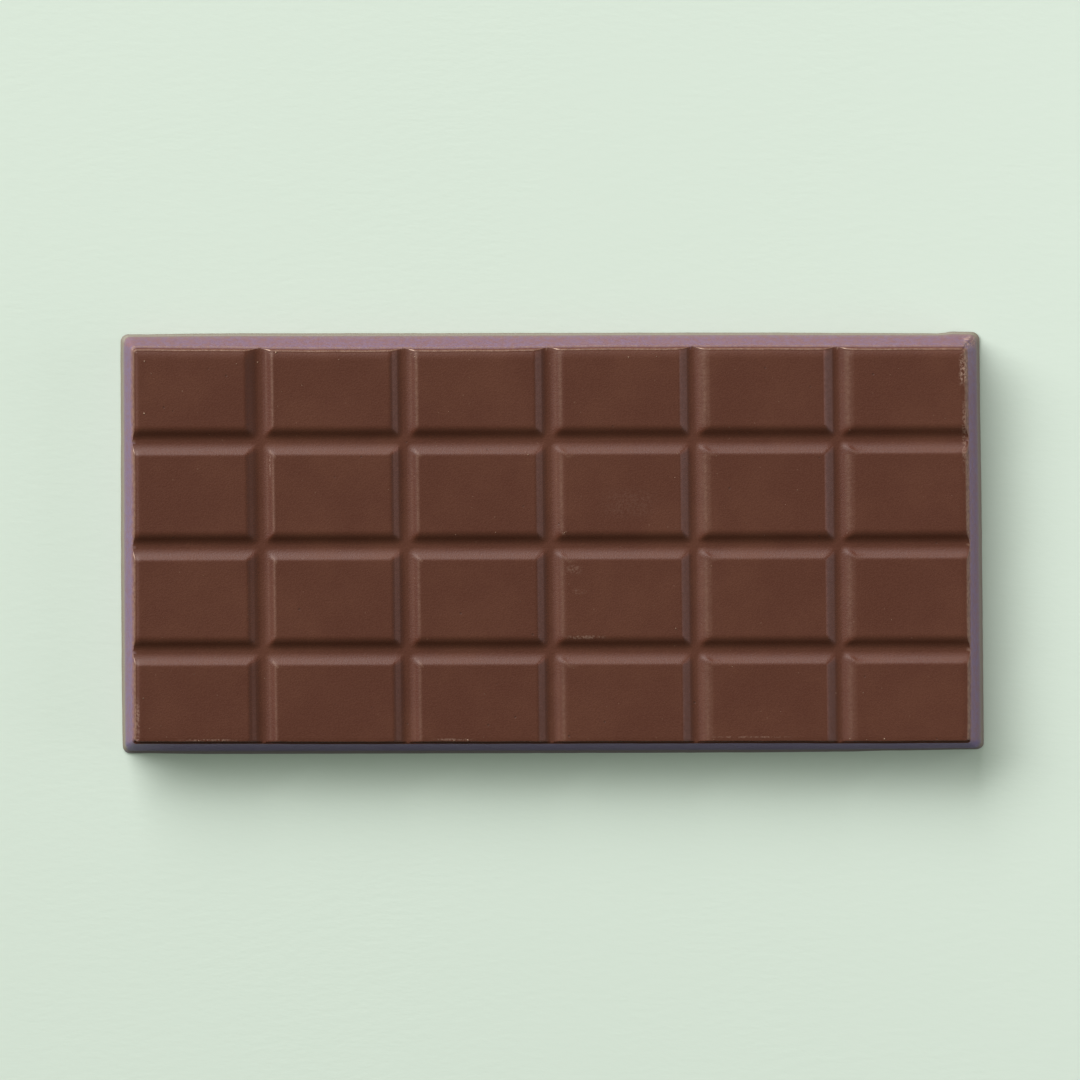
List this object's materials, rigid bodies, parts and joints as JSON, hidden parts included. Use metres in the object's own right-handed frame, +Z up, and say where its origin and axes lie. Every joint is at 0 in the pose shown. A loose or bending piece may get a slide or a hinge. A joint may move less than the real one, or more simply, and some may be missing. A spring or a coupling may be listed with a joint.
{
  "type": "chocolate bar",
  "caption": "Rectangular moulded milk chocolate bar whose top is divided into low rectangular blocks by rounded grooves, so that it snaps into pieces.",
  "frame": {"origin": "centre of the flat back that the bar rests on, under the middle of its bounding box", "axes": "+X along the bar's length, +Y across its width, +Z up from the back towards the block tops"},
  "size_m": [0.1558, 0.076, 0.0073],
  "materials": {
    "milk_chocolate": "satin milk chocolate with a faint mauve-grey bloom on the outer walls"
  },
  "bodies": {
    "root": {"chocolate_bar": "milk_chocolate"}
  },
  "joints": []
}
